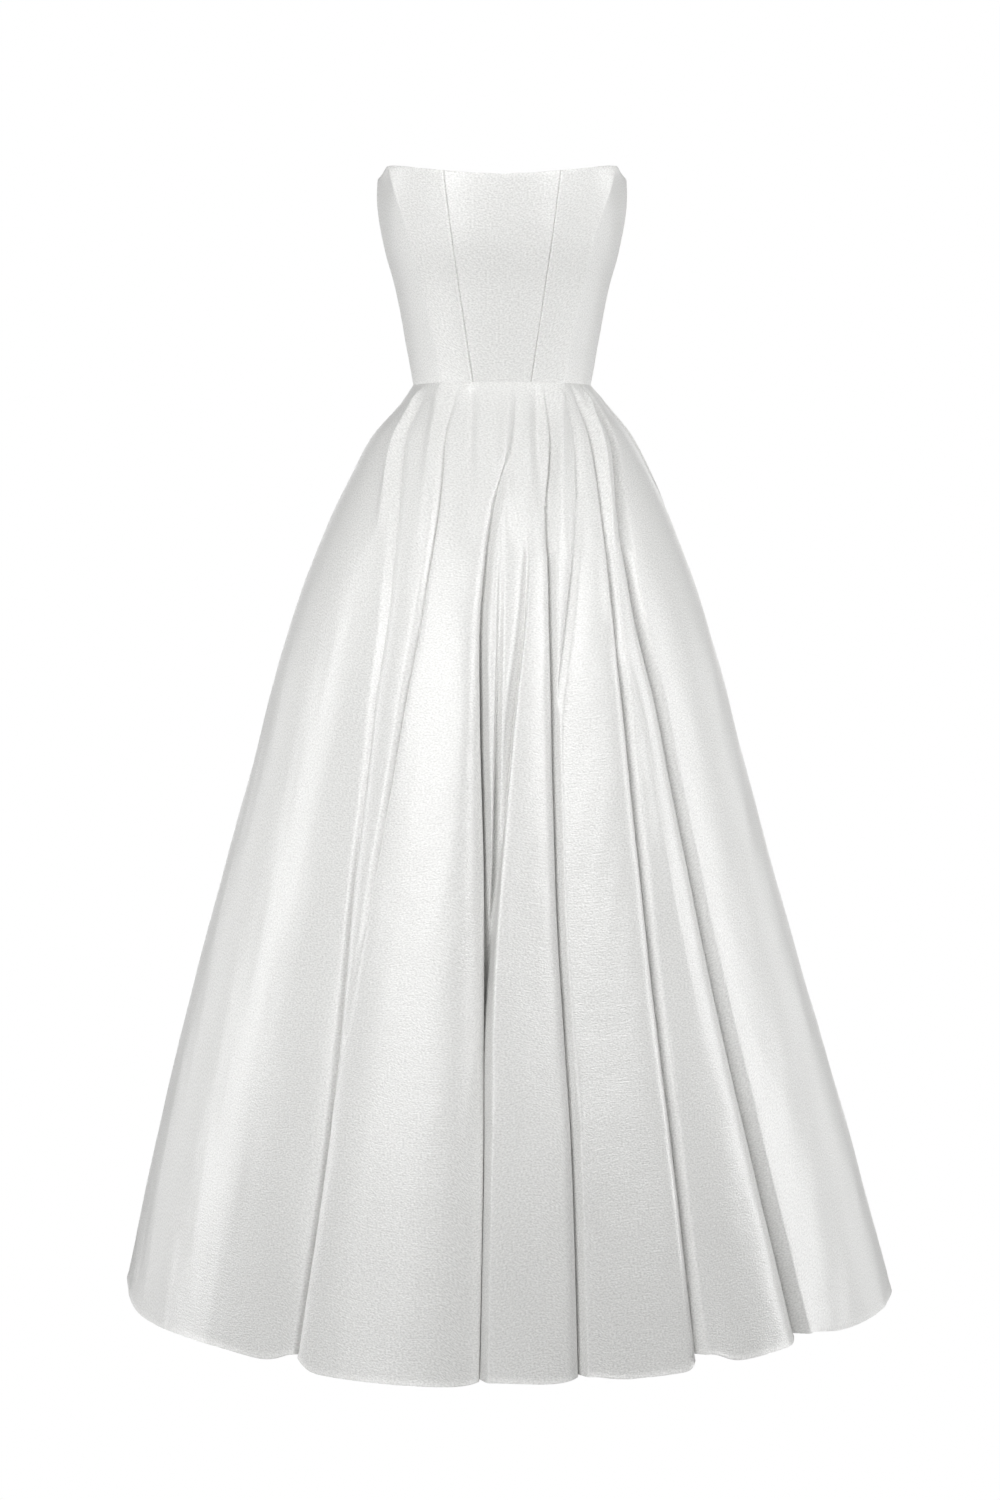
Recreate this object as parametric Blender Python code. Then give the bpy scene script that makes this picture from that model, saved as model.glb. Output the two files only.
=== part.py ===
"""A strapless full-skirted dress, hollow and filled out as when it is worn.

Millimetres are used throughout, and turned into metres when a mesh is made. The origin is the centre of the
waist seam, +Z is up and the front faces -Y. An azimuth is in degrees round the dress: 0 is the centre front,
90 the side at +X, and 180 the centre back. A drop is a distance below the waist seam.
"""

import math
from collections import namedtuple

import bmesh
import bpy
import numpy as np
from mathutils import Matrix

MM = 0.001

# ------------------------------------------------------------------ driving dimensions

BODICE_WALL = 2.2
SKIRT_WALL = 1.6
SEAM_GAP = 0.3
HEM_DROP = 1000.0

CENTRE_BACK = 180.0
SIDE_SEAM = 90.0
ZIP_DROP = 160.0
ZIP_OPENING = 1.8

# ------------------------------------------------------------------ bodice

# Sections through the bodice: half its width, and its depth to the front and to the back.
BodiceSection = namedtuple("BodiceSection", "height half_width front back")
BODICE_SECTIONS = (
    BodiceSection(0, 97.0, 89.5, 89.5),
    BodiceSection(50, 106.0, 94.5, 92.5),
    BodiceSection(100, 115.5, 100.5, 95.5),
    BodiceSection(150, 128.6, 109.5, 99.5),
    BodiceSection(195, 136.0, 113.0, 103.5),
    BodiceSection(240, 135.2, 114.0, 106.0),
)
BODICE_SQUARENESS = 2.3

# Where the panels meet, as azimuths at each height. The left half is the mirror of these.
BodiceSeam = namedtuple("BodiceSeam", "height front side back")
BODICE_SEAMS = (
    BodiceSeam(0, 19.8, 43.0, 118.0),
    BodiceSeam(50, 23.2, 45.4, 117.0),
    BodiceSeam(100, 25.9, 49.3, 116.0),
    BodiceSeam(150, 27.4, 50.8, 114.5),
    BodiceSeam(190, 29.1, 56.5, 113.0),
    BodiceSeam(238, 31.5, 67.0, 112.0),
)

# The top edge, as a height at each azimuth. It is the same on both sides.
TopEdge = namedtuple("TopEdge", "azimuth height")
TOP_EDGE = (
    TopEdge(0, 218.0),
    TopEdge(20, 220.0),
    TopEdge(42, 225.5),
    TopEdge(64, 231.5),
    TopEdge(76, 231.0),
    TopEdge(92, 224.5),
    TopEdge(118, 206.0),
    TopEdge(150, 189.0),
    TopEdge(180, 182.0),
)

# Boned panels are flatter than the section between their seams: how far in, and where the flattest place is,
# as a share of the way across from the seam nearer the front.
PanelFlat = namedtuple("PanelFlat", "panel inward place spread")
PANEL_FLATS = (
    PanelFlat("centre_front", 1.6, 0.5, 0.5),
    PanelFlat("side_front", 2.6, 0.5, 0.5),
    PanelFlat("side", 6.0, 0.3, 0.3),
    PanelFlat("back", 0.8, 0.5, 0.5),
)

# ------------------------------------------------------------------ skirt

# Sections through the skirt's crests: half the width, depth over width, and the middle's shift along X.
SkirtSection = namedtuple("SkirtSection", "drop half_width roundness middle")
SKIRT_SECTIONS = (
    SkirtSection(0, 97.0, 0.923, 0.0),
    SkirtSection(20, 110.5, 0.925, 0.0),
    SkirtSection(50, 136.0, 0.93, -1.5),
    SkirtSection(100, 164.5, 0.945, -1.5),
    SkirtSection(180, 200.5, 0.96, -2.5),
    SkirtSection(280, 235.0, 0.97, -3.3),
    SkirtSection(400, 267.0, 0.98, -3.5),
    SkirtSection(600, 322.5, 0.99, -3.5),
    SkirtSection(800, 377.5, 1.005, 1.0),
    SkirtSection(HEM_DROP, 426.0, 1.02, 8.5),
)

# Each fold is a crease between two rounded lobes. At each of its drops it has an azimuth, a depth, and how
# far the lobes on its low side and on its high side take to fall into it.
FRONT_DROPS = (0, 50, 120, 220, 350, 500, 750, HEM_DROP)
BACK_DROPS = (0, 100, 220, 500, 750, HEM_DROP)
Fold = namedtuple("Fold", "name drops azimuth depth low high")
FOLDS = (
    Fold("left", FRONT_DROPS, (-54, -47.3, -38.9, -33.1, -32.5, -31.8, -29.9, -31.6),
         (1, 4, 6, 5, 3.5, 4.5, 8, 11), (6, 6, 7, 7, 8, 10, 12, 13), (5, 5, 7, 9, 9, 8, 8, 8)),
    Fold("centre", FRONT_DROPS, (9, 6.6, -0.7, -4, -3.7, -2.3, -2.3, -3.7),
         (0, 2, 5, 9, 14, 20, 18, 16), (4, 5, 6, 7, 9, 13, 20, 24), (5, 5, 6, 7, 7, 7, 7, 7)),
    Fold("right_centre", FRONT_DROPS, (29, 25.1, 18.4, 15.6, 13.9, 12.6, 12, 10.1),
         (2, 6, 7, 8, 9, 11, 13, 15), (4, 4, 5, 6, 7, 7, 7, 8), (5, 5, 6, 7, 7, 7, 7, 7)),
    Fold("right", FRONT_DROPS, (50.7, 45.3, 39.1, 34.6, 33.2, 31.9, 29.7, 27.7),
         (3, 8, 9, 9, 10, 12, 15, 17), (4, 4, 5, 6, 7, 7, 8, 9), (5, 5, 6, 7, 7, 7, 7, 7)),
    Fold("right_outer", FRONT_DROPS, (65.7, 58.7, 47.6, 42.7, 44.3, 45.5, 46.5, 48.3),
         (3, 9, 13, 15, 13, 14, 17, 19), (4, 4, 5, 7, 8, 10, 14, 17), (5, 5, 6, 7, 7, 7, 7, 7)),
    Fold("right_back_1", BACK_DROPS, (95, 99, 102, 104, 104, 105), (0, 6, 9, 13, 16, 19),
         (4, 6, 8, 11, 15, 19), (5, 6, 7, 7, 7, 7)),
    Fold("right_back_2", BACK_DROPS, (113, 118, 122, 124, 125, 126), (0, 5, 8, 11, 13, 15),
         (4, 5, 7, 8, 9, 10), (5, 6, 7, 7, 7, 7)),
    Fold("right_back_3", BACK_DROPS, (136, 140, 143, 146, 147, 148), (0, 6, 10, 16, 19, 20),
         (4, 6, 8, 12, 18, 24), (5, 6, 7, 7, 7, 7)),
    Fold("right_back_4", BACK_DROPS, (157, 160, 163, 165, 166, 167), (0, 5, 7, 10, 13, 16),
         (4, 5, 7, 8, 10, 12), (5, 6, 7, 7, 7, 7)),
    Fold("left_back_4", BACK_DROPS, (204, 201, 198, 196, 196, 195), (0, 5, 9, 15, 18, 20),
         (5, 6, 7, 7, 7, 7), (4, 6, 8, 12, 18, 24)),
    Fold("left_back_3", BACK_DROPS, (225, 221, 218, 216, 215, 214), (0, 5, 8, 11, 13, 15),
         (5, 6, 7, 7, 7, 7), (4, 5, 7, 8, 9, 10)),
    Fold("left_back_2", BACK_DROPS, (245, 242, 240, 238, 237, 236), (0, 6, 9, 14, 17, 19),
         (5, 6, 7, 7, 7, 7), (4, 6, 8, 11, 15, 19)),
    Fold("left_back_1", BACK_DROPS, (264, 261, 258, 256, 255, 254), (0, 6, 8, 12, 14, 16),
         (5, 6, 7, 7, 7, 7), (4, 5, 7, 9, 11, 13)),
)

# Broad stretches where the skirt is flatter than its round section, in the same columns.
FLATS = (
    Fold("left_flat", BACK_DROPS, (-50, -50, -50, -50, -50, -48), (0, 0, 0, 2, 5, 12),
         (60, 70, 90, 120, 170, 210), (60, 60, 70, 100, 150, 190)),
    Fold("middle_flat", BACK_DROPS, (8, 8, 8, 8, 8, 8), (0, 0, 0, 0, 6, 16),
         (40, 40, 40, 50, 60, 75), (60, 60, 60, 80, 100, 120)),
    Fold("right_flat", BACK_DROPS, (42, 42, 42, 43, 46, 48), (0, 0, 0, 2, 7, 18),
         (60, 60, 60, 100, 150, 200), (60, 60, 60, 100, 150, 210)),
)

# How far the hem rises at some azimuths, and how far along it the rise spreads to its low and high sides.
HemRise = namedtuple("HemRise", "azimuth rise low high")
HEM_RISES = (
    HemRise(-86, 15, 90, 50),
    HemRise(-46, 5, 150, 100),
    HemRise(45, 7, 170, 180),
    HemRise(84, 4, 60, 90),
)
# The rise starts this far down the skirt.
RISE_FROM = 700.0

SKIRT_ROWS = (0, 12, 34, 64, 104, 160, 235, 330, 440, 560, 680, 790, 900, HEM_DROP)
COLUMN_WIDTH = 2.9
BODICE_ROWS = 8

# ------------------------------------------------------------------ zip

TAPE_EDGES = (3.7, 13.0)
TAPE_THICK = 0.7
TEETH_EDGES = (-3.2, 3.2)
TEETH_THICK = 1.2
ZIP_INSET = 4.6

SLIDER_LENGTH = 8.0
SLIDER_DROP = 10.0
OUTER_PLATE = (6.0, 1.2)
INNER_PLATE = (6.2, 1.2)
NECK_WIDTH = 0.9
PLATE_CLEARANCE = 0.5
BAIL_WIDTH = 1.4
BAIL_BAR = 1.0
BAIL_ROOM = (2.4, 3.4)

PULL_LENGTH = 24.0
PULL_WIDTH = 5.4
PULL_THICK = 1.0
PULL_EYE = (2.8, 5.2)
PULL_CORNER = 1.6


def curve(at, levels, values):
    """A smooth curve through the values at the rising levels."""
    levels = np.asarray(levels, float)
    values = np.asarray(values, float)
    slopes = np.gradient(values, levels)
    at = np.clip(at, levels[0], levels[-1])
    low = np.clip(np.searchsorted(levels, at, side="right") - 1, 0, len(levels) - 2)
    span = levels[low + 1] - levels[low]
    t = (at - levels[low]) / span
    start = values[low] * (1 + 2 * t) * (1 - t) ** 2 + slopes[low] * span * t * (1 - t) ** 2
    end = values[low + 1] * t * t * (3 - 2 * t) + slopes[low + 1] * span * t * t * (t - 1)
    return start + end


def column(rows, name):
    return [getattr(row, name) for row in rows]


def directions(azimuth):
    """Unit vectors in plan, outward and towards higher azimuths."""
    angle = np.radians(azimuth)
    outward = np.stack([np.sin(angle), -np.cos(angle)], -1)
    sideways = np.stack([np.cos(angle), np.sin(angle)], -1)
    return outward, sideways


def ring_radius(azimuth, half_width, depth, squareness):
    angle = np.radians(azimuth)
    across = np.abs(np.sin(angle) / half_width) ** squareness
    along = np.abs(np.cos(angle) / depth) ** squareness
    return (across + along) ** (-1 / squareness)


def bodice_point(azimuth, height):
    """A point on the bodice's outer face."""
    levels = column(BODICE_SECTIONS, "height")
    half_width = curve(height, levels, column(BODICE_SECTIONS, "half_width"))
    front = curve(height, levels, column(BODICE_SECTIONS, "front"))
    back = curve(height, levels, column(BODICE_SECTIONS, "back"))
    depth = np.where(np.cos(np.radians(azimuth)) > 0, front, back)
    outward, _ = directions(azimuth)
    radius = ring_radius(azimuth, half_width, depth, BODICE_SQUARENESS)
    return np.concatenate([radius[..., None] * outward, height[..., None]], -1)


def skirt_squareness(drop):
    """The skirt leaves the waist with the bodice's section, and turns round lower down."""
    return curve(drop, (0, 100, 300, HEM_DROP), (BODICE_SQUARENESS, 2.15, 2.0, 2.0))


def bump(azimuth, middle, low, high, radius):
    """1 at the middle, falling to 0 over the low side's and the high side's widths round the ring."""
    away = (azimuth - middle + 180) % 360 - 180
    distance = np.radians(away) * radius
    return np.exp(-((distance / np.where(distance < 0, low, high)) ** 2))


def skirt_point(azimuth, drop):
    """A point on the skirt's outer face: the ring of its crests, less the folds."""
    levels = column(SKIRT_SECTIONS, "drop")
    half_width = curve(drop, levels, column(SKIRT_SECTIONS, "half_width"))
    depth = half_width * curve(drop, levels, column(SKIRT_SECTIONS, "roundness"))
    crest = ring_radius(azimuth, half_width, depth, skirt_squareness(drop))
    inward = np.zeros_like(crest)
    for fold in FOLDS + FLATS:
        middle, fold_depth, low, high = (curve(drop, fold.drops, values) for values in fold[2:])
        inward += fold_depth * bump(azimuth, middle, low, high, half_width)
    rise = np.zeros_like(crest)
    for row in HEM_RISES:
        rise += row.rise * bump(azimuth, row.azimuth, row.low, row.high, half_width)
    rise *= np.clip((drop - RISE_FROM) / (HEM_DROP - RISE_FROM), 0, 1) ** 2
    outward, _ = directions(azimuth)
    plan = (crest - inward)[..., None] * outward
    plan[..., 0] += curve(drop, levels, column(SKIRT_SECTIONS, "middle"))
    return np.concatenate([plan, (rise - drop)[..., None]], -1)


def outward_normal(point, azimuth, level):
    """The surface's own direction outwards, from points a little to each side."""
    turn = 0.05
    step = 0.5
    across = point(azimuth + turn, level) - point(azimuth - turn, level)
    up = point(azimuth, level + step) - point(azimuth, level - step)
    normal = np.cross(across, up)
    normal /= np.linalg.norm(normal, axis=-1, keepdims=True)
    outward, _ = directions(azimuth)
    facing = np.sign((normal[..., :2] * outward).sum(-1).mean())
    return normal * facing


# ------------------------------------------------------------------ making objects


def clear_scene():
    for old in list(bpy.data.objects):
        bpy.data.objects.remove(old, do_unlink=True)


def new_collection(name):
    made = bpy.data.collections.new(name)
    bpy.context.scene.collection.children.link(made)
    return made


def new_material(name, colour, roughness, metallic=0.0):
    made = bpy.data.materials.new(name)
    made.use_nodes = True
    shader = made.node_tree.nodes["Principled BSDF"]
    shader.inputs["Base Color"].default_value = (*colour, 1.0)
    shader.inputs["Roughness"].default_value = roughness
    shader.inputs["Metallic"].default_value = metallic
    return made


def cloth_wall(name, outer, inner, collection, material):
    """A closed wall between two like grids of points, given in rows from the top down."""
    rows, columns = outer.shape[:2]
    mesh = bmesh.new()
    faces = []
    for grid in (outer, inner):
        faces.append([[mesh.verts.new(point * MM) for point in row] for row in grid])
    out, back = faces
    for row in range(rows - 1):
        for col in range(columns - 1):
            mesh.faces.new((out[row][col], out[row + 1][col], out[row + 1][col + 1], out[row][col + 1]))
            mesh.faces.new((back[row][col], back[row][col + 1], back[row + 1][col + 1], back[row + 1][col]))
    for col in range(columns - 1):
        mesh.faces.new((out[0][col], out[0][col + 1], back[0][col + 1], back[0][col]))
        mesh.faces.new((out[-1][col + 1], out[-1][col], back[-1][col], back[-1][col + 1]))
    for row in range(rows - 1):
        mesh.faces.new((out[row + 1][0], out[row][0], back[row][0], back[row + 1][0]))
        mesh.faces.new((out[row][-1], out[row + 1][-1], back[row + 1][-1], back[row][-1]))
    bmesh.ops.recalc_face_normals(mesh, faces=mesh.faces)
    data = bpy.data.meshes.new(name)
    mesh.to_mesh(data)
    mesh.free()
    data.shade_smooth()
    data.set_sharp_from_angle(angle=math.radians(50))
    data.materials.append(material)
    made = bpy.data.objects.new(name, data)
    collection.objects.link(made)
    return made


def flat_outline(name, outlines, thick, collection, material):
    """A plate of the given thickness whose outline and holes are flat loops of points in its own XY plane."""
    data = bpy.data.curves.new(name, "CURVE")
    data.dimensions = "2D"
    data.fill_mode = "BOTH"
    data.extrude = thick / 2 * MM
    for outline in outlines:
        spline = data.splines.new("POLY")
        spline.points.add(len(outline) - 1)
        for target, (x, y) in zip(spline.points, outline):
            target.co = (x * MM, y * MM, 0, 1)
        spline.use_cyclic_u = True
    flat = bpy.data.objects.new(name + "_outline", data)
    collection.objects.link(flat)
    bpy.context.view_layer.update()
    mesh = bpy.data.meshes.new_from_object(flat.evaluated_get(bpy.context.evaluated_depsgraph_get()))
    bpy.data.objects.remove(flat)
    welded = bmesh.new()
    welded.from_mesh(mesh)
    bmesh.ops.remove_doubles(welded, verts=welded.verts, dist=0.00001)
    bmesh.ops.recalc_face_normals(welded, faces=welded.faces)
    welded.to_mesh(mesh)
    welded.free()
    mesh.name = name
    mesh.materials.clear()
    mesh.materials.append(material)
    made = bpy.data.objects.new(name, mesh)
    collection.objects.link(made)
    return made


# ------------------------------------------------------------------ bodice


def bodice_seam(name, height, side):
    """A seam's azimuth at each height. side is 1 on the right and -1 on the left."""
    return side * curve(height, column(BODICE_SEAMS, "height"), column(BODICE_SEAMS, name))


def bodice_panel(name, kind, low_edge, high_edge, columns, collection, material):
    """A panel between two seams, each a function that gives an azimuth at a height."""
    across = np.linspace(0, 1, columns + 1)[None, :]
    up = np.linspace(1, 0, BODICE_ROWS + 1)[:, None]
    top_levels = column(TOP_EDGE, "azimuth")
    top_heights = column(TOP_EDGE, "height")
    height = up * top_heights[0] * np.ones_like(across)
    # The panel's top follows the top edge, whose height depends on the azimuth: three passes settle both.
    for _ in range(3):
        azimuth = low_edge(height) + (high_edge(height) - low_edge(height)) * across
        top = curve(np.abs((azimuth + 180) % 360 - 180), top_levels, top_heights)
        height = SEAM_GAP / 2 + up * (top - SEAM_GAP / 2)
    flat = next(row for row in PANEL_FLATS if row.panel == kind)
    place = 1 - flat.place if name.endswith("left") else flat.place
    inward = flat.inward * np.clip(1 - ((across - place) / flat.spread) ** 2, 0, 1)
    outward, _ = directions(azimuth)
    flattened = np.concatenate([inward[..., None] * outward, np.zeros_like(azimuth)[..., None]], -1)
    outer = bodice_point(azimuth, height) - flattened
    inner = outer - BODICE_WALL * outward_normal(bodice_point, azimuth, height)
    return cloth_wall(name, outer, inner, collection, material)


def apart(edge, distance):
    """The same edge, moved round the dress by a distance."""
    typical_radius = 105.0
    return lambda height: edge(height) + math.degrees(distance / typical_radius)


def make_bodice(collection, material):
    half_gap = SEAM_GAP / 2

    def seam(name, side):
        return lambda height: bodice_seam(name, height, side)

    def centre_back(side):
        return lambda height: side * CENTRE_BACK + np.zeros_like(height)

    centre = bodice_panel(
        "bodice_centre_front",
        "centre_front",
        apart(seam("front", -1), half_gap),
        apart(seam("front", 1), -half_gap),
        6,
        collection,
        material,
    )
    made = [centre]
    for side, word in ((-1, "left"), (1, "right")):
        spans = (
            ("side_front", seam("front", side), seam("side", side), half_gap, half_gap, 6),
            ("side", seam("side", side), seam("back", side), half_gap, half_gap, 9),
            ("back", seam("back", side), centre_back(side), half_gap, ZIP_OPENING / 2, 9),
        )
        for part, near, far, near_gap, far_gap, columns in spans:
            low = apart(near, side * near_gap)
            high = apart(far, -side * far_gap)
            edges = (low, high) if side > 0 else (high, low)
            made.append(bodice_panel(f"bodice_{part}_{word}", part, *edges, columns, collection, material))
    return made


# ------------------------------------------------------------------ skirt


def skirt_columns(keys, drop):
    """Azimuths from the first key to the last, closer together by each fold. A key gives one at each drop."""
    crowding = 0.55
    found = []
    for low, high in zip(keys[:-1], keys[1:]):
        count = max(3, round(abs(float(np.mean(high(drop) - low(drop)))) / COLUMN_WIDTH))
        share = np.arange(count)[None, :] / count
        share = share - crowding * np.sin(2 * np.pi * share) / (2 * np.pi)
        found.append(low(drop) + (high(drop) - low(drop)) * share)
    found.append(keys[-1](drop))
    return np.concatenate(found, 1)


def fold_line(fold):
    return lambda drop: curve(drop, fold.drops, fold.azimuth)


def skirt_edge(azimuth, distance_at):
    """A seam at a fixed azimuth, moved round by a distance that may differ down the skirt."""

    def edge(drop):
        half_width = curve(drop, column(SKIRT_SECTIONS, "drop"), column(SKIRT_SECTIONS, "half_width"))
        return azimuth + np.degrees(distance_at(drop) / half_width)

    return edge


def centre_back_gap(drop):
    """Half the gap at the centre back: the zip's opening, and below it a seam."""
    return np.where(drop <= ZIP_DROP, ZIP_OPENING / 2, SEAM_GAP / 2)


def side_gap(drop):
    return np.full_like(drop, SEAM_GAP / 2)


def skirt_panel(name, low_edge, high_edge, low_azimuth, high_azimuth, collection, material):
    between = [fold for fold in FOLDS if low_azimuth < fold.azimuth[-1] < high_azimuth]
    keys = [low_edge, *(fold_line(fold) for fold in between), high_edge]
    drop = np.array(SKIRT_ROWS, float)[:, None]
    drop[0] = SEAM_GAP / 2
    azimuth = skirt_columns(keys, drop)
    drop = np.broadcast_to(drop, azimuth.shape).copy()
    outer = skirt_point(azimuth, drop)
    inner = outer - SKIRT_WALL * outward_normal(skirt_point, azimuth, drop)
    return cloth_wall(name, outer, inner, collection, material)


def make_skirt(collection, material):
    full_turn = 360.0
    left_seam = full_turn - SIDE_SEAM
    return [
        skirt_panel(
            "skirt_front",
            skirt_edge(-SIDE_SEAM, side_gap),
            skirt_edge(SIDE_SEAM, lambda drop: -side_gap(drop)),
            -SIDE_SEAM,
            SIDE_SEAM,
            collection,
            material,
        ),
        skirt_panel(
            "skirt_back_right",
            skirt_edge(SIDE_SEAM, side_gap),
            skirt_edge(CENTRE_BACK, lambda drop: -centre_back_gap(drop)),
            SIDE_SEAM,
            CENTRE_BACK,
            collection,
            material,
        ),
        skirt_panel(
            "skirt_back_left",
            skirt_edge(CENTRE_BACK, centre_back_gap),
            skirt_edge(left_seam, lambda drop: -side_gap(drop)),
            CENTRE_BACK,
            left_seam,
            collection,
            material,
        ),
    ]


# ------------------------------------------------------------------ zip


def back_surface(x, height):
    """The outer face's depth near the centre back, at a place x across and a height above the waist."""
    above = np.maximum(height, SEAM_GAP / 2)
    below = np.maximum(-height, SEAM_GAP / 2)
    bodice = bodice_point(CENTRE_BACK + np.degrees(-x / 100.0), above)[..., 1]
    skirt = skirt_point(CENTRE_BACK + np.degrees(-x / (100.0 + below)), below)[..., 1]
    return np.where(height > 0, bodice, skirt)


def zip_strip(name, edges, thick, top, collection, material):
    """A strip that follows the inside of the centre back from its top to the end of the zip."""
    heights = np.array([top, top - 40, 90, 45, 14, 0, -14, -34, -64, -104, -ZIP_DROP + 4.0])[:, None]
    x = np.linspace(edges[0], edges[1], 3)[None, :]
    x = np.broadcast_to(x, (len(heights), 3))
    heights = np.broadcast_to(heights, x.shape)
    depth = back_surface(x, heights)
    slope = np.gradient(depth[:, 0], heights[:, 0])[:, None]
    inset = ZIP_INSET * np.sqrt(1 + np.minimum(np.abs(slope), 1.2) ** 2)
    near = np.stack([x, depth - inset, heights], -1)
    far = near - np.array([0.0, thick, 0.0])
    return cloth_wall(name, near, far, collection, material)


def place_on_slider(made, frame):
    made.matrix_world = frame @ made.matrix_world
    bpy.context.view_layer.update()
    return made


def make_slider(collection, cutters, material, frame):
    """The slider in its own frame: +Y is out of the dress, and Z runs along the zip."""
    outer_face = PLATE_CLEARANCE
    inner_face = -(ZIP_INSET - 0.9)
    half_neck = NECK_WIDTH / 2
    outer_half, outer_thick = OUTER_PLATE[0] / 2, OUTER_PLATE[1]
    inner_half, inner_thick = INNER_PLATE[0] / 2, INNER_PLATE[1]
    section = (
        (-outer_half, outer_face + outer_thick),
        (outer_half, outer_face + outer_thick),
        (outer_half, outer_face),
        (half_neck, outer_face),
        (half_neck, inner_face),
        (inner_half, inner_face),
        (inner_half, inner_face - inner_thick),
        (-inner_half, inner_face - inner_thick),
        (-inner_half, inner_face),
        (-half_neck, inner_face),
        (-half_neck, outer_face),
        (-outer_half, outer_face),
    )
    slider = flat_outline("zip_slider", [section], SLIDER_LENGTH, collection, material)
    seat = outer_face + outer_thick
    room_out, room_along = BAIL_ROOM
    sunk = 0.4
    bail_loop = (
        (-room_along / 2 - BAIL_BAR, seat - sunk),
        (-room_along / 2, seat - sunk),
        (-room_along / 2, seat + room_out),
        (room_along / 2, seat + room_out),
        (room_along / 2, seat - sunk),
        (room_along / 2 + BAIL_BAR, seat - sunk),
        (room_along / 2 + BAIL_BAR, seat + room_out + BAIL_BAR),
        (-room_along / 2 - BAIL_BAR, seat + room_out + BAIL_BAR),
    )
    bail = flat_outline("slider_bail", [bail_loop], BAIL_WIDTH, cutters, material)
    along_z = Matrix(((0, 0, 1, 0), (0, 1, 0, 0), (1, 0, 0, 0), (0, 0, 0, 1)))
    bail.data.transform(along_z)
    bail.data.flip_normals()
    bail.hide_render = True
    bail.display_type = "WIRE"
    for made in (slider, bail):
        place_on_slider(made, frame)
    union = slider.modifiers.new("bail", "BOOLEAN")
    union.operation = "UNION"
    union.solver = "MANIFOLD"
    union.object = bail
    return slider


def rounded_end(half_width, bottom, corner, steps=4):
    """The lower outline of the pull, from its right side round to its left."""
    found = []
    for side in (1, -1):
        turns = np.linspace(0, math.pi / 2, steps + 1)
        if side < 0:
            turns = turns[::-1]
        for turn in turns:
            x = side * (half_width - corner + corner * math.cos(turn))
            found.append((x, bottom + corner - corner * math.sin(turn)))
    return found


def make_pull(collection, material, pivot):
    """The pull tab, hanging from the bail. Its top bar lies along the pivot."""
    bar = PULL_THICK / 2
    outline = [(-PULL_WIDTH / 2, bar), (PULL_WIDTH / 2, bar)]
    outline += rounded_end(PULL_WIDTH / 2, bar - PULL_LENGTH, PULL_CORNER)
    eye_half = PULL_EYE[0] / 2
    eye_low = -bar - PULL_EYE[1]
    eye = [(-eye_half, -bar), (-eye_half, eye_low), (eye_half, eye_low), (eye_half, -bar)]
    pull = flat_outline("zip_pull", [outline, eye], PULL_THICK, collection, material)
    pull.rotation_euler = (math.radians(90), 0, 0)
    pull.location = pivot
    return pull


def make_zip(collection, cutters, tape_material, teeth_material, metal_material):
    top = TOP_EDGE[-1].height
    slider_middle = top - SLIDER_DROP
    slider_bottom = slider_middle - SLIDER_LENGTH / 2
    for side, word in ((-1, "left"), (1, "right")):
        edges = sorted(side * edge for edge in TAPE_EDGES)
        zip_strip(f"zip_tape_{word}", edges, TAPE_THICK, top - 2, collection, tape_material)
    zip_strip("zip_teeth", TEETH_EDGES, TEETH_THICK, slider_bottom - 1.2, collection, teeth_material)
    reach = SLIDER_LENGTH / 2
    heights = np.array([slider_middle - reach, slider_middle, slider_middle + reach])
    low, middle, high = back_surface(np.zeros(3), heights)
    tilt = math.atan2(high - low, 2 * reach)
    frame = Matrix.Translation((0, middle * MM, slider_middle * MM)) @ Matrix.Rotation(-tilt, 4, "X")
    make_slider(collection, cutters, metal_material, frame)
    axis_out = PLATE_CLEARANCE + OUTER_PLATE[1] + BAIL_ROOM[0] / 2
    pivot = frame @ Matrix.Translation((0, axis_out * MM, 0))
    make_pull(collection, metal_material, pivot.translation)
    return pivot.translation


def main():
    clear_scene()
    dress = new_collection("strapless_dress")
    cutters = new_collection("cutters")
    cutters.hide_render = True
    satin = new_material("ivory_satin", (0.84, 0.82, 0.78), 0.38)
    tape = new_material("zip_tape", (0.80, 0.78, 0.73), 0.8)
    teeth = new_material("zip_teeth", (0.82, 0.80, 0.75), 0.45)
    metal = new_material("zip_metal", (0.75, 0.74, 0.72), 0.3, metallic=1.0)
    make_bodice(dress, satin)
    make_skirt(dress, satin)
    make_zip(dress, cutters, tape, teeth, metal)


main()
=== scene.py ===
"""The looks of a strapless full-skirted dress: its satin panels and their folds, the zip, and a studio.

The cloth is worked out in millimetres, and turned into metres when a mesh is made. The origin is the
centre of the waist seam, +Z is up and the front faces -Y. An azimuth is in degrees round the dress: 0 is
the centre front, 90 the side at +X, and 180 the centre back. A drop is a distance below the waist seam.
"""

import math
from collections import namedtuple

import bpy
import numpy as np
from mathutils import Matrix


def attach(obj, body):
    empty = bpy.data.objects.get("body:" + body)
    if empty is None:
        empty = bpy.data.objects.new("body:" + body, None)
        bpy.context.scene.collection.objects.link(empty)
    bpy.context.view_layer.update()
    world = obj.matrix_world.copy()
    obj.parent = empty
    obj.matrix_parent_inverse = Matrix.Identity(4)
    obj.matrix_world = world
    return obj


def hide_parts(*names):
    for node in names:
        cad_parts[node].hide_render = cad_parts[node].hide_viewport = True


MM = 0.001
FULL_TURN = 360.0

# ------------------------------------------------------------------ the frame

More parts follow.
